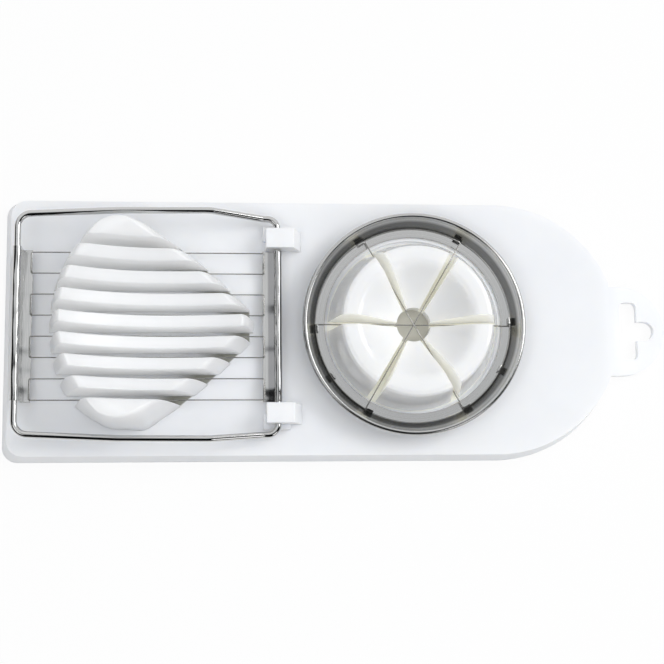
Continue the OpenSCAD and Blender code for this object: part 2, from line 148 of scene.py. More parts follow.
# %% [markdown]
# ## Moulded white ABS
# The board is injection moulded ABS. Such plastic leaves a mould with a fine satin
# skin: even colour, soft broad gloss, and a very slight waviness where it shrank.
# A single colour would look like paper, so two near whites are mixed over a few
# centimetres, the gloss wanders a little, and a fine bump stands for the texture of
# the steel. The real grain is under 0.1 mm and would vanish, so it is drawn at
# 0.7 mm. Light passes a few millimetres under the skin, red a little further than
# blue.

# %% Moulded white ABS
def moulded_abs(name, body_colour, shade_colour, rough_low, rough_high, glow, reach_mm,
                floor=None, painted_glow=None):
    """White plastic. A floor function changes its colour by place, painting shade and light into it, and
    the last function gives the tint and strength of a glow painted on for the light that comes through the
    wall."""
    mat, tree, shader = blank(name)
    place = add(tree, "ShaderNodeTexCoord").outputs["Object"]
    cloud = add(tree, "ShaderNodeTexNoise", None, Vector=place, Scale=28.0, Detail=3.0, Roughness=0.5)
    grain = add(tree, "ShaderNodeTexNoise", None, Vector=place, Scale=1400.0, Detail=2.0, Roughness=0.6)
    shrink = add(tree, "ShaderNodeTexNoise", None, Vector=place, Scale=55.0, Detail=1.0)
    stops = ((0.35, paint(shade_colour)), (0.65, paint(body_colour)))
    colour = add(tree, "ShaderNodeValToRGB", {"stops": stops}, Fac=cloud).outputs["Color"]
    if floor:
        colour = floor(tree, place, colour)
    rough = add(tree, "ShaderNodeMapRange", None, Value=cloud, From_Min=0.3, From_Max=0.7,
                To_Min=rough_low, To_Max=rough_high)
    skin = add(tree, "ShaderNodeBump", None, Strength=0.10, Distance=0.00006, Height=grain)
    wave = add(tree, "ShaderNodeBump", None, Strength=0.12, Distance=0.0003, Height=shrink, Normal=skin)
    fill(tree, shader, Base_Color=colour, Roughness=rough, Normal=wave, IOR=1.53, Subsurface_Weight=glow,
         Subsurface_Radius=[r * MM for r in reach_mm], Subsurface_Scale=1.0)
    # Painted glow: an emission that stands for the light passed on through a thin wall.
    if painted_glow:
        tint, strength = painted_glow(tree, place)
        fill(tree, shader, Emission_Color=paint(tint), Emission_Strength=strength)
    return mat


abs_slat = moulded_abs("moulded_abs_slats", "FBFCFD", "F7F8FA", 0.32, 0.40, 0.7, (9.0, 8.6, 8.0))
abs_gloss = moulded_abs("moulded_abs_polished_tool", "F9F9F8", "F4F4F3", 0.12, 0.17, 0.5, (6.0, 5.4, 4.4))
print("plain walls:", abs_slat.name, abs_gloss.name)

# %% [markdown]
# ## Walls with a painted glow for the light they let through
# A thin white wall also passes on the light that falls on its far side. In a slot
# 3 mm wide that is more than what comes in from above, and a renderer needs very many
# samples to find it. So that light is painted on: the slot walls give off a very weak
# glow of their own, which in the cradle fades with height and toward the open end of
# a slot. The petals are thinner and their painted glow warmer, so their slots look creamy.

# %% Slot walls
def flank_reach(tree, place):
    """Distance along the normal of the cradle's flank, distance from the middle, and X, Y, Z."""
    parts = add(tree, "ShaderNodeSeparateXYZ", None, Vector=place).outputs
    across, along = math.cos(math.radians(FLANK_A)), math.sin(math.radians(FLANK_A))
    side = add(tree, "ShaderNodeMath", {"operation": "ABSOLUTE"}, _0=parts["Y"])
    reach = add(tree, "ShaderNodeMath", {"operation": "MULTIPLY_ADD"}, _0=parts["X"], _1=across,
                _2=-LEAF_X * MM * across)
    reach = add(tree, "ShaderNodeMath", {"operation": "MULTIPLY_ADD"}, _0=side, _1=along, _2=reach)
    return reach, side, parts


def slat_painted_glow(tree, place):
    """A painted glow for the light that the thin slats pass on: more low in a slot, less at its open end."""
    reach, _, parts = flank_reach(tree, place)
    return "F6F8F8", fades(tree, (parts["Z"], 0.012, 0.030, 0.085, 0.045), (reach, 0.007, 0.015, 1.0, 0.35))


def petal_painted_glow(tree, place):
    """A painted warm glow for the light that the thin petals pass on into the slots of the cup."""
    return "F5F3E8", 0.165


# Painted glow: the cradle's slot walls give off a weak light for what the slats pass on.
abs_wall = moulded_abs("moulded_abs_slot_wall", "FEFEFE", "FCFCFD", 0.45, 0.55, 1.0, (14.0, 13.6, 13.0),
                       painted_glow=slat_painted_glow)
# Painted light: the petals' cut sides are tinted cream and glow weakly for the light the thin petals pass on.
abs_slot = moulded_abs("moulded_abs_thin_wall", "FCFBF4", "FAF9F0", 0.45, 0.55, 1.0, (14.0, 13.0, 10.5),
                       painted_glow=petal_painted_glow)
print("slot walls:", abs_wall.name, abs_slot.name)

# %% [markdown]
# ## Floors that lie in shade
# The opposite holds for the floors. Low behind a flank of the cradle a slot gets
# little light from anywhere, and so does the well under the hub of the cup. That shade
# is painted into the satin plastic of the board as a darker colour, and around the hub
# the cup's floor is painted creamy for the light the petals pass on. Each place is found
# by soft steps on distances in metres that are multiplied into one share.

# %% Floors of the slots and of the cup
def slot_floor(tree, place, colour):
    """The floor of the cradle's slots, with shade painted in as a darker colour where it comes out under the
    flank.
    """
    reach, side, parts = flank_reach(tree, place)
    pitches = add(tree, "ShaderNodeMath", {"operation": "DIVIDE"}, _0=parts["Y"], _1=SLOT_PITCH * MM)
    within = add(tree, "ShaderNodeMath", {"operation": "FRACT"}, _0=pitches)
    off = add(tree, "ShaderNodeMath", {"operation": "SUBTRACT"}, _0=within, _1=0.5)
    off = add(tree, "ShaderNodeMath", {"operation": "ABSOLUTE"}, _0=off)
    bowed = add(tree, "ShaderNodeMapRange", None, Value=side, From_Min=0.004, From_Max=0.022, To_Max=0.002)
    reach = add(tree, "ShaderNodeMath", {"operation": "SUBTRACT"}, _0=reach, _1=bowed)
    share = fades(tree,
                  (off, 0.215, 0.225, 1, 0),  # between two slats, in pitches
                  (reach, 0.0204, 0.0209, 1, 0),  # up to the foot of the flank
                  (reach, 0.0115, 0.0165, 0, 1),  # darker toward that foot
                  (side, 0.0290, 0.0292, 1, 0),  # no slot beyond the last one
                  (parts["X"], -0.0346, -0.0342, 1, 0))  # up to the nose
    # Painted shade: the slot floor is mixed toward grey where it comes out under the flank.
    return add(tree, "ShaderNodeMix", {"data_type": "RGBA"}, Factor=share, _6=colour,
               _7=paint("96968C")).outputs[2]


def cup_floor(tree, place, colour):
    """The floor of the cup, with shade painted darker under the hub and the light the petals pass on painted
    creamy under the slots.
    """
    moved = add(tree, "ShaderNodeMapping", None, Vector=place, Location=(-CUP_X * MM, 0, 0))
    flat = add(tree, "ShaderNodeVectorMath", {"operation": "MULTIPLY"}, _0=moved, _1=(1, 1, 0))
    away = add(tree, "ShaderNodeVectorMath", {"operation": "LENGTH"}, _0=flat).outputs["Value"]
    ranged = add(tree, "ShaderNodeMapRange", None, Value=away, From_Max=0.04)
    # Painted shade under the hub, and painted warm light from the petals around it.
    stops = ((0.158, paint("C6C4BA")), (0.165, paint("FBFAF2")))
    inner = add(tree, "ShaderNodeValToRGB", {"stops": stops}, Fac=ranged).outputs["Color"]
    parts = add(tree, "ShaderNodeSeparateXYZ", None, Vector=place).outputs
    share = fades(tree,
                  (away, 0.0315, 0.0318, 1, 0),  # inside the ring of petals
                  (parts["Z"], 0.0115, 0.0117, 0, 1))  # on the raised foot, not on the underside
    return add(tree, "ShaderNodeMix", {"data_type": "RGBA"}, Factor=share, _6=colour, _7=inner).outputs[2]


def both_floors(tree, place, colour):
    """The board's colour with the painted shade and light of both floors in it."""
    return slot_floor(tree, place, cup_floor(tree, place, colour))


abs_board = moulded_abs("moulded_abs_satin", "F7F8FA", "F2F3F6", 0.34, 0.42, 0.4, (4.5, 4.0, 3.4),
                        floor=both_floors)
print("board:", abs_board.name, "with", len(abs_board.node_tree.nodes), "nodes")

# %% [markdown]
# ## Drawn and pressed stainless steel
# The rod and the wires were drawn through a die and polished, so their streaks run
# lengthwise and are very fine. The ring was pressed from sheet and its flange turned
# with an abrasive, so its streaks run round it. Both are one recipe: a metal whose
# roughness and tiny bump follow a noise squeezed hard across the streaks. Only the
# coordinates differ, plain for a straight rod and polar for the ring. A metal keeps
# its default IOR. Streaks finer than 0.1 mm are drawn at about 0.3 mm.
# A thin strip is never quite flat after folding, so a long ripple breaks up what it
# mirrors. Deep in a fold, and low on the ring's wall, steel mirrors mostly steel, so
# that darker reflection is painted in as a second tint, across the strip or by radius
# on the ring.

# %% Stainless steel, straight or round streaks
def stainless(name, colour, rough_low, rough_high, squeeze, bump, centre=None, ripple=None, fold=None):
    """Steel with streaks, which run round a centre if there is one. A ripple is waves per metre, and
    the last argument, a painted reflection, is (start, end, tint) in metres across the streaks."""
    mat, tree, shader = blank(name)
    place = add(tree, "ShaderNodeTexCoord").outputs["Object"]
    if centre:
        moved = add(tree, "ShaderNodeMapping", None, Vector=place, Location=tuple(-c for c in centre))
        parts = add(tree, "ShaderNodeSeparateXYZ", None, Vector=moved).outputs
        radius = add(tree, "ShaderNodeVectorMath", {"operation": "LENGTH"}, _0=moved).outputs["Value"]
        angle = add(tree, "ShaderNodeMath", {"operation": "ARCTAN2"}, _0=parts["Y"], _1=parts["X"])
        turn = add(tree, "ShaderNodeMath", {"operation": "MULTIPLY"}, _0=angle, _1=0.0015)
        place = add(tree, "ShaderNodeCombineXYZ", None, X=radius, Y=turn, Z=parts["Z"]).outputs[0]
    squeezed = add(tree, "ShaderNodeMapping", None, Vector=place, Scale=squeeze)
    streak = add(tree, "ShaderNodeTexNoise", None, Vector=squeezed, Scale=1.0, Detail=4.0, Roughness=0.65)
    smudge = add(tree, "ShaderNodeTexNoise", None, Vector=place, Scale=70.0, Detail=2.0)
    both = add(tree, "ShaderNodeMath", {"operation": "ADD"}, _0=streak, _1=smudge)
    rough = add(tree, "ShaderNodeMapRange", None, Value=both, From_Min=0.7, From_Max=1.3,
                To_Min=rough_low, To_Max=rough_high)
    dark = [c * 0.86 for c in paint(colour)[:3]] + [1]
    stops = ((0.35, dark), (0.65, paint(colour)))
    tint = add(tree, "ShaderNodeValToRGB", {"stops": stops}, Fac=streak).outputs["Color"]
    # Painted reflection: a second tint takes over between start and end.
    if fold:
        start, end, inner = fold
        across = add(tree, "ShaderNodeSeparateXYZ", None, Vector=place).outputs["X"]
        share = add(tree, "ShaderNodeMapRange", None, Value=across, From_Min=start, From_Max=end)
        tint = add(tree, "ShaderNodeMix", {"data_type": "RGBA"}, Factor=share, _6=tint,
                   _7=paint(inner)).outputs[2]
    skin = add(tree, "ShaderNodeBump", None, Strength=bump, Distance=0.00004, Height=streak)
    if ripple:
        bent = add(tree, "ShaderNodeMapping", None, Vector=place, Scale=(60, ripple, 60))
        swell = add(tree, "ShaderNodeTexNoise", None, Vector=bent, Scale=1.0, Detail=1.0)
        skin = add(tree, "ShaderNodeBump", None, Strength=0.9, Distance=0.0021, Height=swell, Normal=skin)
    fill(tree, shader, Base_Color=tint, Roughness=rough, Normal=skin, Metallic=1.0)
    return mat


rod_steel = stainless("polished_drawn_rod", "D2D2D1", 0.05, 0.12, (60, 3000, 3000), 0.10)
strip_steel = stainless("bright_folded_strip", "CFCFCE", 0.08, 0.18, (2500, 90, 2500), 0.18, ripple=75)
# Painted reflection: the strip is tinted darker close to the rod, where it mirrors steel.
strip_steel_painted_dark = stainless("strip_folded_under_rod", "CFCFCE", 0.08, 0.18, (2500, 90, 2500), 0.18, ripple=75,
                       fold=(-0.0279, -0.0273, "A2A2A3"))
wire_steel = stainless("drawn_cutting_wire", "B4B3B0", 0.16, 0.28, (80, 4000, 4000), 0.10)
ring_steel = stainless("turned_pressed_ring", "C8C8C7", 0.12, 0.26, (3600, 120, 3600), 0.22,
                       centre=(RING_X * MM, RING_Y * MM, 0))
# Painted reflection: the ring's inner wall is darker steel, lighter again higher up toward the bead.
wall_steel = stainless("deep_drawn_wall", "868685", 0.18, 0.32, (1800, 90, 900), 0.18,
                       centre=(RING_X * MM, RING_Y * MM, 0), fold=(0.0418, 0.0430, "CFCFCE"))
metals = (rod_steel, strip_steel, strip_steel_painted_dark, wire_steel, ring_steel, wall_steel)
print("metals:", ", ".join(mat.name for mat in metals))

# %% [markdown]
# ## Soft edges on the mouldings
# A mould is cut with a small radius on every edge, and that thin highlight tells the
# eye the size of the thing. The CAD solids have sharp edges, so each moulding is
# copied, its loose triangles are merged and dissolved back to clean faces, and a
# bevel rounds what is sharper than 25 degrees. The foot of a piece that grows out of
# the board is carried a little into it, so the bevel leaves no groove there.

# %% Helpers that copy solids
SINK = 0.9


def cleaned(mesh, source):
    """Writes the source to the mesh with its doubles merged and its flat triangles joined."""
    work = bmesh.new()
    work.from_mesh(source)
    bmesh.ops.remove_doubles(work, verts=work.verts, dist=0.00002)
    bmesh.ops.dissolve_limit(work, angle_limit=math.radians(0.6), verts=work.verts, edges=work.edges)
    work.to_mesh(mesh)
    work.free()


def placed(name, mesh):
    """A new object at the origin that shows the mesh."""
    piece = bpy.data.objects.new(name, mesh)
    bpy.context.scene.collection.objects.link(piece)
    return piece


def settle(piece):
    """Turns what the modifiers make into the piece's own plain mesh."""
    bpy.context.view_layer.update()
    ready = piece.evaluated_get(bpy.context.evaluated_depsgraph_get())
    made = bpy.data.meshes.new_from_object(ready)
    piece.modifiers.clear()
    piece.data = made


def copied(name, nodes, foot_z=None):
    """The solids of some nodes as one object. Points at or below foot_z mm sink into the board."""
    made = []
    for node in nodes:
        mesh = bpy.data.meshes.new(name)
        cleaned(mesh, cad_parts[node].data)
        for v in mesh.vertices:
            if foot_z and v.co.z < (foot_z + 0.01) * MM:
                v.co.z -= SINK * MM
        made.append(placed(name, mesh))
    whole = made[0]
    for other in made[1:]:
        join = whole.modifiers.new("join", "BOOLEAN")
        join.operation, join.solver, join.object = "UNION", "EXACT", other
        settle(whole)
        bpy.data.objects.remove(other)
    if made[1:]:
        cleaned(whole.data, whole.data)
    return whole


print("solids that can be copied:", len(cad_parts))


# %% Helpers that round edges, shade and hand over
def soften(piece, width, segments=3):
    """Rounds every edge that turns by more than 25 degrees. The width is in mm."""
    bevel = piece.modifiers.new("edge", "BEVEL")
    bevel.width = width * MM
    bevel.segments = segments
    bevel.limit_method = "ANGLE"
    bevel.angle_limit = math.radians(25)
    bevel.use_clamp_overlap = True
    settle(piece)


def even_normals(piece, smooth):
    """Lets the large faces set the shading, so long thin facets do not streak."""
    piece.data.shade_smooth()
    piece.data.set_sharp_from_angle(angle=math.radians(smooth))
    even = piece.modifiers.new("even", "WEIGHTED_NORMAL")
    even.mode = "FACE_AREA"
    even.weight = 50
    even.keep_sharp = True
    settle(piece)


def finish_piece(piece, material, body, smooth, nodes):
    """Shades and colours the piece, hangs it under its body and hides the solids it stands for."""
    piece.data.materials.clear()
    piece.data.materials.append(material)
    if smooth:
        piece.data.shade_smooth()
        piece.data.set_sharp_from_angle(angle=math.radians(smooth))
    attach(piece, body)
    if nodes:
        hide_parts(*nodes)
    return piece


def second_material(piece, material, fits):
    """Gives another material to the faces that fit."""
    piece.data.materials.append(material)
    for face in piece.data.polygons:
        if fits(face):
            face.material_index = 1


print("helpers ready")

# %% [markdown]
# ## The board in one moulding
# The solids hold the deck, the skirt and the hanging tab apart, but the real board
# comes out of one mould with no seam. The three copies are joined by a Boolean and
# the whole is rounded at once.

# %% Board
board = copied("board_moulding", ["board_deck", "board_skirt", "hanging_tab"])
print("board joined:", len(board.data.polygons), "faces")
soften(board, 0.9, 4)
even_normals(board, 32)
finish_piece(board, abs_board, "board", None, ["board_deck", "board_skirt", "hanging_tab"])
print("board faces:", len(board.data.polygons))

# %% [markdown]
# ## The cradle as one height rule
# Nine slats carry the egg in a hollow. The solids have them in place with straight
# flanks and sharp rims. The moulded block is fuller: its flanks bow out a little and
# its wall turns over into the hollow in one wide soft curve. So the block is written
# as a rule that gives a height for every point of its plan. Outside the rim the wall
# falls off steeply, inside is the hollow, and a smooth minimum of the two rounds the
# rim. The wall leans less at the two shoulders, where it faces across the board.
# Every slat is then a slice of the same rule.

# %% Height of the cradle block
BACK_R, SHOULDER_R, FLANK_D, NOSE_X = 44.0, 12.0, 16.7, 17.8
RIM_Z, LEAN, RIM_SOFT, FOOT_Z = 37.0, 0.16, 14.0, 7.1
BOWL_X, BOWL_Z, BOWL_R, BOWL_LONG = -66.0, 23.3, 54.0, 105.0
FLANK_BOW, BACK_BOW, UPRIGHT = 3.5, 1.3, 0.105


def bow(x, y):
    """How far in mm the wall stands out beyond the straight solid at this place."""
    flank = -0.9 + FLANK_BOW * math.sin(math.pi * abs(y) / 50) ** 2
    back = BACK_BOW * math.cos(min(1.0, abs(y) / 40) * math.pi / 2) ** 2
    t = min(1.0, max(0.0, (x + 90) / 40))
    return back + (flank - back) * t * t * (3 - 2 * t)


def outside(x, y):
    """Distance outside the rim in plan, and the direction in degrees that the wall faces."""
    px, py = x - bow(x, y) - LEAF_X, abs(y)
    a = math.radians(FLANK_A)
    rho = BACK_R - SHOULDER_R
    turn = a + math.acos((FLANK_D - SHOULDER_R) / rho)
    sx, sy = rho * math.cos(turn), rho * math.sin(turn)
    if a < math.atan2(py - sy, px - sx) < turn:
        far = math.hypot(px - sx, py - sy)
        return far - SHOULDER_R, math.degrees(math.atan2(py - sy, px - sx))
    nose_r = FLANK_D - NOSE_X * math.cos(a)
    if px > NOSE_X and math.atan2(py, px - NOSE_X) < a:
        far = math.hypot(px - NOSE_X, py)
        return far - nose_r, 0.0
    back, flank = math.hypot(px, py) - BACK_R, px * math.cos(a) + py * math.sin(a) - FLANK_D
    return (back, math.degrees(math.atan2(py, px))) if back > flank else (flank, FLANK_A)


def rise(value, low, high):
    """0 below low, 1 above high, and a soft step between."""
    t = min(1.0, max(0.0, (value - low) / (high - low)))
    return t * t * (3 - 2 * t)


def smooth_min(a, b, soft):
    """The smaller of two heights with the corner between them rounded."""
    h = min(1.0, max(0.0, 0.5 + (b - a) / (2 * soft)))
    return b + (a - b) * h - soft * h * (1 - h)


def cradle_height(x, y):
    """Height of the cradle block over a point of the plan, in mm."""
    away, facing = outside(x, y)
    upright = rise(facing, 52, 84) * (1 - rise(facing, 126, 152))
    wall = RIM_Z - (away - 0.6) / (LEAN - UPRIGHT * upright)
    dx = x - BOWL_X
    if dx < 0:
        bowl = BOWL_Z + BOWL_R - math.sqrt(max(1.0, BOWL_R ** 2 - dx * dx - y * y))
    else:
        cross = BOWL_LONG - BOWL_R + math.sqrt(BOWL_R ** 2 - y * y)
        bowl = BOWL_Z + BOWL_LONG - math.sqrt(cross * cross - dx * dx)
    return smooth_min(smooth_min(bowl, RIM_Z, 1.0), wall, RIM_SOFT)


print("height at the middle %.1f mm, at the nose %.1f mm" % (cradle_height(-66, 0), cradle_height(-40, 0)))


# %% Outline of one slice
START_X, STEP, STEPS = -112.0, 0.06, 1400
TURN_WEIGHT = 12.0
OUTLINE_POINTS = 110


def profile(y, count):
    """The outline of the block over one line of y. Points are shared out by length and by turn."""
    fine = [(START_X + STEP * i, cradle_height(START_X + STEP * i, y)) for i in range(STEPS)]
    fine = [p for p in fine if p[1] > FOOT_Z]
    if len(fine) < 8:
        return None
    walked, heading = [0.0], None
    for (x0, z0), (x1, z1) in zip(fine, fine[1:]):
        now = math.atan2(z1 - z0, x1 - x0)
        turn = 0 if heading is None else abs(now - heading)
        heading = now
        walked.append(walked[-1] + math.hypot(x1 - x0, z1 - z0) + TURN_WEIGHT * turn)
    points, j = [], 0
    for i in range(count):
        goal = walked[-1] * i / (count - 1)
        while j < len(walked) - 2 and walked[j + 1] < goal:
            j += 1
        t = (goal - walked[j]) / (walked[j + 1] - walked[j])
        points.append([fine[j][n] + (fine[j + 1][n] - fine[j][n]) * min(1, t) for n in (0, 1)])
    points[0][1] = points[-1][1] = FOOT_Z
    return points


def shrunk(points, inset):
    """The same outline moved inward, with its feet kept at their height."""
    made = []
    for i, (x, z) in enumerate(points):
        ax, az = points[max(0, i - 1)]
        bx, bz = points[min(len(points) - 1, i + 1)]
        long = math.hypot(bx - ax, bz - az) or 1.0
        made.append([x + (bz - az) / long * inset, z - (bx - ax) / long * inset])
    made[0][1] = made[-1][1] = FOOT_Z
    return made


middle = profile(0, OUTLINE_POINTS)
print("middle slice from x %.1f to %.1f mm" % (middle[0][0], middle[-1][0]))


# %% One slat as a closed mesh
SLAT_W, SLAT_EDGE, OUTER_Y = 4.4, 0.45, 42.0
OUTER_ROWS, CROWDING = 34, 1.6


def slat_rows(y0, y1, outer):
    """Places (y, inset) of the outlines from wall to wall, with a soft edge at each cut wall.
    The rows of an outer slat crowd toward its round end."""
    edge = [(SLAT_EDGE * (1 - math.cos(math.radians(a))), SLAT_EDGE * (1 - math.sin(math.radians(a))))
            for a in (0, 30, 60, 90)]
    rows = [(y0 + step, inset) for step, inset in edge]
    if outer:
        wide = y1 - y0 - SLAT_EDGE
        return rows + [(y0 + SLAT_EDGE + wide * (1 - (1 - i / OUTER_ROWS) ** CROWDING), 0)
                       for i in range(1, OUTER_ROWS)]
    rows += [(y0 + (y1 - y0) * i / 6, 0) for i in range(2, 5)]
    return rows + [(y1 - step, inset) for step, inset in reversed(edge)]


def faced_out(mesh):
    """Turns all faces of a closed mesh outward."""
    work = bmesh.new()
    work.from_mesh(mesh)
    bmesh.ops.recalc_face_normals(work, faces=work.faces)
    work.to_mesh(mesh)
    work.free()


def slat_piece(name, y0, y1, outer, flip):
    """One slat as rows of outlines, two cut walls and a foot."""
    count, verts, kept = OUTLINE_POINTS, [], 0
    for y, inset in slat_rows(y0, y1, outer):
        points = profile(y, count)
        if points is None:
            break
        verts += [metres(x, -y if flip else y, z) for x, z in shrunk(points, inset)]
        kept += 1
    faces = [(r * count + i, r * count + i + 1, (r + 1) * count + i + 1, (r + 1) * count + i)
             for r in range(kept - 1) for i in range(count - 1)]
    faces += [tuple(range(count)), tuple(range((kept - 1) * count, kept * count))]
    faces.append(tuple(r * count for r in range(kept))
                 + tuple(r * count + count - 1 for r in reversed(range(kept))))
    mesh = bpy.data.meshes.new(name)
    mesh.from_pydata(verts, [], faces)
    faced_out(mesh)
    return placed(name, mesh)


print("rows of an inner slat:", len(slat_rows(0, SLAT_W, False)))
print("rows of an outer slat:", len(slat_rows(0, 12, True)))

# %% Nine slats
def cut_wall(face):
    """True for the flat upright walls of a slat, each of which is one face with a whole outline."""
    return len(face.vertices) >= OUTLINE_POINTS and abs(face.normal.y) > 0.99


for k in range(1, 10):
    node = "cradle_slat_%d" % k
    near = abs(5 - k) * SLOT_PITCH - SLAT_W / 2
    outer = k in (1, 9)
    slat = slat_piece(node + "_moulded", near, OUTER_Y if outer else near + SLAT_W, outer, k > 5)
    even_normals(slat, 40)
    finish_piece(slat, abs_slat, "board", None, [node])
    second_material(slat, abs_wall, cut_wall)
    print(node, "faces", len(slat.data.polygons))

# %% [markdown]
# ## Petals of the cup and hinge lugs
# The petals are slices of one turned funnel from a polished part of the mould, so
# they mirror the lamps. Their cut sides are left plainer and let the light through,
# which is painted on as a cream tint and a weak glow that make the slots look creamy,
# so those faces get the thin-wall plastic with that painted glow.

# %% Petals and lugs
def cut_side(face):
    """True for the upright faces of a petal that look along the cup's rim."""
    away = face.center - metres(CUP_X, 0, 0)
    away.z = 0
    return abs(face.normal.z) < 0.3 and abs(face.normal.dot(away.normalized())) < 0.5


for k in range(1, 7):
    node = "cup_petal_%d" % k
    petal = copied(node + "_moulded", [node], 12)
    soften(petal, 0.55)
    even_normals(petal, 30)
    finish_piece(petal, abs_gloss, "board", None, [node])
    second_material(petal, abs_slot, cut_side)
for k in (1, 2):
    node = "hinge_lug_%d" % k
    lug = copied(node + "_moulded", [node], 10)
    soften(lug, 0.4)
    even_normals(lug, 32)
    finish_piece(lug, abs_board, "board", None, [node])
print("six petals and two lugs done")

# %% [markdown]
# ## The bail rod, drawn along its path
# The real rod is bent from one length of wire and butt welded. Its shape is a rule:
# a closed path with rounded corners and a round section. So the path is a few corner
# points, each with its own bend radius, and Geometry Nodes turn it into a curve,
# fillet it and sweep a circle along it. Changing one number re-bends the rod.

# %% Geometry Nodes tree that bends and sweeps a rod
def socket_id(tree, name):
    """The identifier that a modifier uses for a named input."""
    return [i.identifier for i in tree.interface.items_tree
            if i.item_type == "SOCKET" and i.in_out == "INPUT" and i.name == name][0]


def new_tree(name, numbers):
    """A geometry tree with one input per number and one for the material, and its two ends."""
    tree = bpy.data.node_groups.new(name, "GeometryNodeTree")
    tree.interface.new_socket("Geometry", in_out="INPUT", socket_type="NodeSocketGeometry")
    for key, value in numbers.items():
        kind = "NodeSocketInt" if isinstance(value, int) else "NodeSocketFloat"
        tree.interface.new_socket(key, in_out="INPUT", socket_type=kind).default_value = value
    tree.interface.new_socket("Material", in_out="INPUT", socket_type="NodeSocketMaterial")
    tree.interface.new_socket("Geometry", in_out="OUTPUT", socket_type="NodeSocketGeometry")
    return tree, add(tree, "NodeGroupInput").outputs, add(tree, "NodeGroupOutput")


def bent_sweep(tree, given, caps):
    """Rounds the corners of the path by bend_r and sweeps a round section along it."""
    path = add(tree, "GeometryNodeMeshToCurve", None, Mesh=given["Geometry"])
    bend_r = add(tree, "GeometryNodeInputNamedAttribute", {"data_type": "FLOAT"}, Name="bend_r")
    bent = add(tree, "GeometryNodeFilletCurve", {"mode": "POLY"}, Curve=path, Radius=bend_r,
               Count=given["Bend Points"])
    section = add(tree, "GeometryNodeCurvePrimitiveCircle", None, Resolution=given["Section Points"],
                  Radius=given["Wire Radius"])
    return add(tree, "GeometryNodeCurveToMesh", None, Curve=bent, Profile_Curve=section, Fill_Caps=caps)


def close_tree(tree, given, out, last):
    """Makes the copies real, gives them the material and ends the tree."""
    whole = add(tree, "GeometryNodeRealizeInstances", None, Geometry=last)
    dressed = add(tree, "GeometryNodeSetMaterial", None, Geometry=whole, Material=given["Material"])
    fill(tree, out, Geometry=dressed)


rod_tree, given, out = new_tree("bent_rod", {"Wire Radius": 0.001, "Section Points": 24, "Bend Points": 10})
close_tree(rod_tree, given, out, bent_sweep(rod_tree, given, True))
print("bent_rod inputs:", [i.name for i in rod_tree.interface.items_tree if i.in_out == "INPUT"])


# %% Helpers that run a tree, and run it on paths of corner points
def run_tree(piece, tree, numbers, material):
    """Adds the tree to a piece, with its inputs set by the identifiers of their sockets."""
    mod = piece.modifiers.new(tree.name, "NODES")
    mod.node_group = tree
    for key, value in {**numbers, "Material": material}.items():
        mod[socket_id(tree, key)] = value


def swept_path(name, runs, tree, numbers, material, body, nodes):
    """runs is a list of (points in mm, bend radii in mm, closed)."""
    mesh = bpy.data.meshes.new(name)
    verts, edges, radii = [], [], []
    for points, bends, closed in runs:
        first = len(verts)
        verts += [metres(*p) for p in points]
        radii += [b * MM for b in bends]
        edges += [(first + i, first + i + 1) for i in range(len(points) - 1)]
        if closed:
            edges.append((first + len(points) - 1, first))
    mesh.from_pydata(verts, edges, [])
    mesh.attributes.new("bend_r", "FLOAT", "POINT").data.foreach_set("value", radii)
    piece = placed(name, mesh)
    run_tree(piece, tree, numbers, material)
    settle(piece)
    return finish_piece(piece, material, body, 40, nodes)


print("paths can be swept by the tree", rod_tree.name)


# %% Bail rod
low, up = HINGE_Z, ARM_Z
far_side = [(HINGE_X, HINGE_Y, low), (RISE[0], HINGE_Y, low), (RISE[1], ARM_Y, up), (-82.0, 41.74, up),
            (FREE_X, FREE_Y - 0.45, up)]
near_side = [(x, -y, z) for x, y, z in reversed(far_side)]
bends = [3.8, 5.0, 9.0, 60.0, 5.0]
bail = swept_path("bail_rod_bent", [(far_side + near_side, bends + bends[::-1], True)], rod_tree,
                  {"Wire Radius": ROD_R * MM, "Section Points": 28, "Bend Points": 12},
                  rod_steel, "bail", ["bail_rod"])
print("bail rod faces:", len(bail.data.polygons))

# %% [markdown]
# ## The strips that carry the wires
# Each short bar of the bail wears a folded strip: a hook round the rod, a web and a
# flange with tongues pressed up from it. The solids already have the true section,
# so a copy with a very small edge radius is enough. The large faces set the shading,
# or the long thin facets of the hook would streak.

# %% Wire strips
for end in ("free", "hinge"):
    node = "wire_strip_" + end
    strip = copied(node + "_folded", [node])
    soften(strip, 0.1, 2)
    even_normals(strip, 32)
    finish_piece(strip, strip_steel if end == "free" else strip_steel_painted_dark, "bail", None, [node])
print("strips done")

# %% [markdown]
# ## The cutting wires
# Four closed loops of thin wire each lie round one tongue at both ends, which gives
# eight parallel cuts. They repeat at a fixed pitch, so one loop is drawn and
# Geometry Nodes place the copies on a line of points.

# %% Geometry Nodes tree that repeats a swept loop
loop_tree, given, out = new_tree("wire_loops", {"Wire Radius": 0.0002, "Loops": 4, "Pitch": 0.0156,
                                               "Section Points": 10, "Bend Points": 6})
step = add(loop_tree, "ShaderNodeCombineXYZ", None, Y=given["Pitch"])
row = add(loop_tree, "GeometryNodeMeshLine", None, Count=given["Loops"], Offset=step)
copies = add(loop_tree, "GeometryNodeInstanceOnPoints", None, Points=row,
             Instance=bent_sweep(loop_tree, given, False))
close_tree(loop_tree, given, out, copies)
print("wire_loops nodes:", len(loop_tree.nodes))

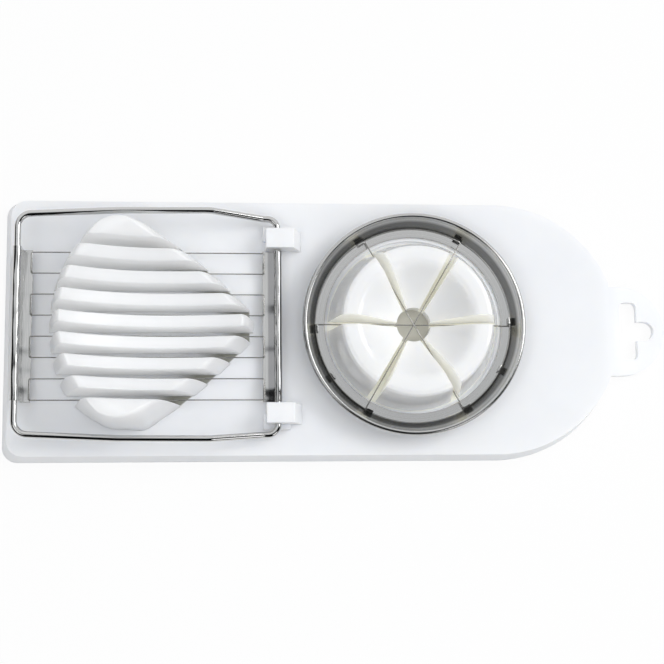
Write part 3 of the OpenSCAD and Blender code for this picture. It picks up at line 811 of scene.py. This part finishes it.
# %% Cutting wires
box_lo, box_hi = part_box("wire_loop_4")
x0, x1 = box_lo.x / MM + WIRE_R, box_hi.x / MM - WIRE_R
first_y = -1.5 * 2 * SLOT_PITCH
low_y, high_y = first_y - SLOT_PITCH / 2, first_y + SLOT_PITCH / 2
corners = [(x0, low_y, WIRE_Z), (x1, low_y, WIRE_Z), (x1, high_y, WIRE_Z), (x0, high_y, WIRE_Z)]
wires = swept_path("cutting_wires", [(corners, [0.6] * 4, True)], loop_tree,
                   {"Wire Radius": WIRE_R * MM, "Loops": 4, "Pitch": 2 * SLOT_PITCH * MM,
                    "Section Points": 10, "Bend Points": 5},
                   wire_steel, "bail", ["wire_loop_%d" % k for k in (1, 2, 3, 4)])
print("cutting wires faces:", len(wires.data.polygons))

# %% [markdown]
# ## The pressed ring
# Deep drawing leaves no sharp corner: the flange runs into the wall by a radius, and
# the edge is rolled into a hollow bead. A section is drawn as a short list of points
# and spun through a full turn. The eight tongues are lanced out of the flange.

# %% Section of the ring
def arc(cx, cz, r, a0, a1, n):
    """Points on an arc in the section plane, angles in degrees."""
    return [(cx + r * math.cos(math.radians(a0 + (a1 - a0) * i / n)),
             cz + r * math.sin(math.radians(a0 + (a1 - a0) * i / n))) for i in range(n + 1)]


WALL_FOOT, WALL_TOP = 36.6, 39.3
section = [(RING_IN, FLANGE_Z - 0.45), (RING_IN, FLANGE_Z - 0.1), (RING_IN + 0.12, FLANGE_Z)]
section += [(RING_IN + 0.25, FLANGE_Z), (WALL_FOOT - 0.55, FLANGE_Z), (WALL_FOOT - 0.4, FLANGE_Z)]
section += [(WALL_FOOT, FLANGE_Z + 0.12), (WALL_FOOT + 0.3, FLANGE_Z + 0.45)]
section += [(WALL_TOP - 0.3, BEAD_Z - 0.35), (WALL_TOP, BEAD_Z + 0.2)]
section += arc(RING_OUT - BEAD_R, BEAD_Z, BEAD_R, 165, -150, 18)
section += [(WALL_TOP, BEAD_Z - 0.75), (WALL_FOOT + 0.75, FLANGE_Z - 0.05)]
section += [(WALL_FOOT + 0.3, FLANGE_Z - 0.6), (RING_IN + 0.2, FLANGE_Z - 0.6)]
print("ring section points:", len(section))


# %% Ring
def spun(name, outline, turns, material, body, nodes):
    """A closed section in (radius, height) mm, spun about the ring's axis."""
    verts = []
    for t in range(turns):
        a = 2 * math.pi * t / turns
        verts += [metres(RING_X + r * math.cos(a), RING_Y + r * math.sin(a), z) for r, z in outline]
    n = len(outline)
    faces = [(t * n + i, t * n + (i + 1) % n, ((t + 1) % turns) * n + (i + 1) % n, ((t + 1) % turns) * n + i)
             for t in range(turns) for i in range(n)]
    mesh = bpy.data.meshes.new(name)
    mesh.from_pydata(verts, [], faces)
    faced_out(mesh)
    piece = placed(name, mesh)
    even_normals(piece, 38)
    return finish_piece(piece, material, body, None, nodes)


def inner_wall(face):
    """True for the faces between the flange and the bead that look into the ring."""
    away = (face.center - metres(RING_X, RING_Y, 0)).xy.length / MM
    return WALL_FOOT < away < WALL_TOP + 0.05 and face.center.z > (FLANGE_Z + 0.1) * MM


ring = spun("wedger_ring_pressed", section, 256, ring_steel, "wedger", ["wedger_ring"])
second_material(ring, wall_steel, inner_wall)
print("ring faces:", len(ring.data.polygons))

# %% [markdown]
# ## The lanced tongues
# Eight small tongues stand up from the flange and hold the wire. They are alike and
# only their angle differs, so one is modelled at the origin and Geometry Nodes put a
# copy on each point of a small mesh, turned outward by the angle kept on that point.

# %% Geometry Nodes tree that sets tongues round the ring
tongue_tree, given, out = new_tree("lanced_tongues", {"Width": 0.0038, "Height": 0.0019, "Sheet": 0.0005})
size = add(tongue_tree, "ShaderNodeCombineXYZ", None, X=given["Sheet"], Y=given["Width"], Z=given["Height"])
blade = add(tongue_tree, "GeometryNodeMeshCube", None, Size=size, Vertices_X=2, Vertices_Y=5, Vertices_Z=4)
about_z = add(tongue_tree, "GeometryNodeInputNamedAttribute", {"data_type": "FLOAT"}, Name="turn")
turned = add(tongue_tree, "ShaderNodeCombineXYZ", None, Z=about_z)
copies = add(tongue_tree, "GeometryNodeInstanceOnPoints", None, Points=given["Geometry"], Instance=blade,
             Rotation=turned)
close_tree(tongue_tree, given, out, copies)
print("lanced_tongues nodes:", len(tongue_tree.nodes))

# %% Tongues
TONGUE_H = 2.0
mesh = bpy.data.meshes.new("tongues")
mesh.from_pydata([metres(RING_X + (TONGUE_R - 0.25) * math.cos(math.radians(a)),
                         RING_Y + (TONGUE_R - 0.25) * math.sin(math.radians(a)),
                         FLANGE_Z - 0.1 + TONGUE_H / 2) for a in TONGUE_DEG], [], [])
mesh.attributes.new("turn", "FLOAT", "POINT").data.foreach_set("value", [math.radians(a) for a in TONGUE_DEG])
tongues = placed("ring_tongues", mesh)
run_tree(tongues, tongue_tree, {"Height": TONGUE_H * MM, "Width": TONGUE_W * MM}, strip_steel)
rounded = tongues.modifiers.new("edge", "BEVEL")
rounded.width = 0.15 * MM
rounded.segments = 2
settle(tongues)
finish_piece(tongues, strip_steel, "wedger", 35, None)
print("tongues faces:", len(tongues.data.polygons))

# %% [markdown]
# ## The wedger wires
# One wire is laced round the tongues so that it crosses the middle three times, and
# between the crossings it runs on the flange behind the tongues. A wire passes close
# beside its tongue, turns down behind it and goes on along the wall. It is swept by
# the same tree as the bail rod with a much thinner section.

# %% Wedger wires
lay_r = TONGUE_R + WIRE_R + 0.05
lay_z = FLANGE_Z + WIRE_R + 0.03
aside = TONGUE_W / 2 + WIRE_R + 0.05
back = math.degrees(math.asin(aside / lay_r))


def lacing(deg, z):
    """A point beside the tongue at this angle, on the circle the wire lies on."""
    a = math.radians(deg - back)
    return (RING_X + lay_r * math.cos(a), RING_Y + lay_r * math.sin(a), z)


# Each pair is two places in the list of tongues. The ninth is the first tongue once more.
tongue_at = TONGUE_DEG + (TONGUE_DEG[0] + 360,)
crossings, stretches = ((0, 3), (1, 5), (2, 6)), ((3, 5), (6, 8), (1, 2))
runs = []
for k, (first, last) in enumerate(crossings):
    a0, a1 = tongue_at[first], tongue_at[last]
    z = lay_z + k * (2 * WIRE_R + 0.04)
    ends = [lacing(a0, z), lacing(a1, z)]
    if k:
        ends = [lacing(a0, lay_z)] + ends + [lacing(a1, lay_z)]
    runs.append((ends, [0] + [0.25] * (len(ends) - 2) + [0], False))
for first, last in stretches:
    a0, a1 = tongue_at[first], tongue_at[last]
    n = round((a1 - a0) / 3)
    runs.append(([lacing(a0 + (a1 - a0) * i / n, lay_z) for i in range(n + 1)], [0] * (n + 1), False))
laced = swept_path("wedger_wire_laced", runs, rod_tree,
                   {"Wire Radius": WIRE_R * MM, "Section Points": 10, "Bend Points": 3},
                   wire_steel, "wedger", ["wedger_wires"])
print("wedger wire faces:", len(laced.data.polygons))

# %% [markdown]
# ## Table, light and camera
# The table is a large pale plane. For the camera and for mirrors most of it is plain
# white, so the background is clean, while a part of it still takes the shadow. One
# broad softbox at the right gives the shadows their side, and two weak ones fill from
# the left and from the front. The world is a light tent. Plain surfaces see it soft
# and pale. Mirrored rays see a harder one, black in front and white at the back,
# because polished metal needs something black and something white to mirror.

# %% Table
mesh = bpy.data.meshes.new("table")
mesh.from_pydata([(-3, -3, -0.0002), (3, -3, -0.0002), (3, 3, -0.0002), (-3, 3, -0.0002)], [], [(0, 1, 2, 3)])
table = placed("table", mesh)
mat = bpy.data.materials.new("pale_table")
mat.use_nodes = True
tree = mat.node_tree
tree.nodes.clear()
lit = add(tree, "ShaderNodeBsdfDiffuse", None, Color=paint("F2F2F2"))
plain = add(tree, "ShaderNodeEmission", None, Color=paint("FFFFFF"), Strength=1.0)
ray = add(tree, "ShaderNodeLightPath").outputs
seen = add(tree, "ShaderNodeMath", {"operation": "MAXIMUM"}, _0=ray["Is Camera Ray"], _1=ray["Is Glossy Ray"])
seen = add(tree, "ShaderNodeMath", {"operation": "MAXIMUM"}, _0=seen, _1=ray["Is Transmission Ray"])
share = add(tree, "ShaderNodeMath", {"operation": "MULTIPLY"}, _0=seen, _1=0.9)
mixed = add(tree, "ShaderNodeMixShader", None, Fac=share, _1=lit, _2=plain)
add(tree, "ShaderNodeOutputMaterial", None, Surface=mixed)
mesh.materials.append(mat)
print("table ready:", mat.name)


# %% Lights
def softbox(name, place, size, power):
    """An area lamp, in metres and watts, that looks at the origin."""
    lamp = bpy.data.lights.new(name, "AREA")
    lamp.shape = "RECTANGLE"
    lamp.size, lamp.size_y = size
    lamp.energy = power
    obj = bpy.data.objects.new(name, lamp)
    obj.location = place
    obj.rotation_euler = (-Vector(place)).to_track_quat("-Z", "Y").to_euler()
    bpy.context.scene.collection.objects.link(obj)


softbox("key_softbox", (1.1, 0.35, 1.0), (0.9, 0.7), 9.0)
softbox("fill_softbox", (-0.6, -0.3, 1.0), (0.5, 0.5), 1.1)
softbox("front_softbox", (0.65, -0.75, 0.7), (0.5, 0.5), 1.3)
print("softboxes:", [lamp.name for lamp in bpy.data.lights])


# %% Light tent
def tent(tree, look, tilt, scale, stops):
    """A sky that brightens with height and, by the tilt, toward the back."""
    lean = add(tree, "ShaderNodeMath", {"operation": "MULTIPLY_ADD"}, _0=look["Y"], _1=tilt, _2=look["Z"])
    lean = add(tree, "ShaderNodeMath", {"operation": "MULTIPLY"}, _0=lean, _1=scale)
    stops = [(at, paint(code)) for at, code in stops]
    return add(tree, "ShaderNodeValToRGB", {"stops": stops}, Fac=lean).outputs["Color"]


world = bpy.data.worlds.new("studio")
bpy.context.scene.world = world
world.use_nodes = True
tree = world.node_tree
way = add(tree, "ShaderNodeTexCoord").outputs["Generated"]
look = add(tree, "ShaderNodeSeparateXYZ", None, Vector=way).outputs
soft = tent(tree, look, 0.06, 1.0, ((0.0, "505153"), (0.35, "707173"), (0.7, "F8FAFC"), (1.0, "FFFFFF")))
sharp = tent(tree, look, 1.5, 0.6, ((0.0, "0C0D0F"), (0.60, "131416"), (0.655, "F4F6F8"), (1.0, "FFFFFF")))
ray = add(tree, "ShaderNodeLightPath").outputs
lit = add(tree, "ShaderNodeMix", {"data_type": "RGBA"}, Factor=ray["Is Glossy Ray"], _6=soft, _7=sharp)
seen = add(tree, "ShaderNodeMix", {"data_type": "RGBA"}, Factor=ray["Is Camera Ray"], _6=lit.outputs[2],
           _7=paint("FFFFFF"))
fill(tree, tree.nodes["Background"], Color=seen.outputs[2], Strength=0.92)
bpy.context.scene.view_settings.view_transform = "Standard"
print("tent ready:", world.name)

# %% Camera
FOCAL_PX, WIDE_PX = 1450, 664
eye = bpy.data.cameras.new("camera")
eye.sensor_width = 36
eye.lens = eye.sensor_width * FOCAL_PX / WIDE_PX
eye.clip_start = 0.01
camera = bpy.data.objects.new("camera", eye)
camera.location = (-0.0500, -0.0859, 0.5409)
camera.rotation_euler = (0.1578, -0.0852, -0.0114)
bpy.context.scene.collection.objects.link(camera)
bpy.context.scene.camera = camera
print("camera at", [round(v, 3) for v in camera.location])
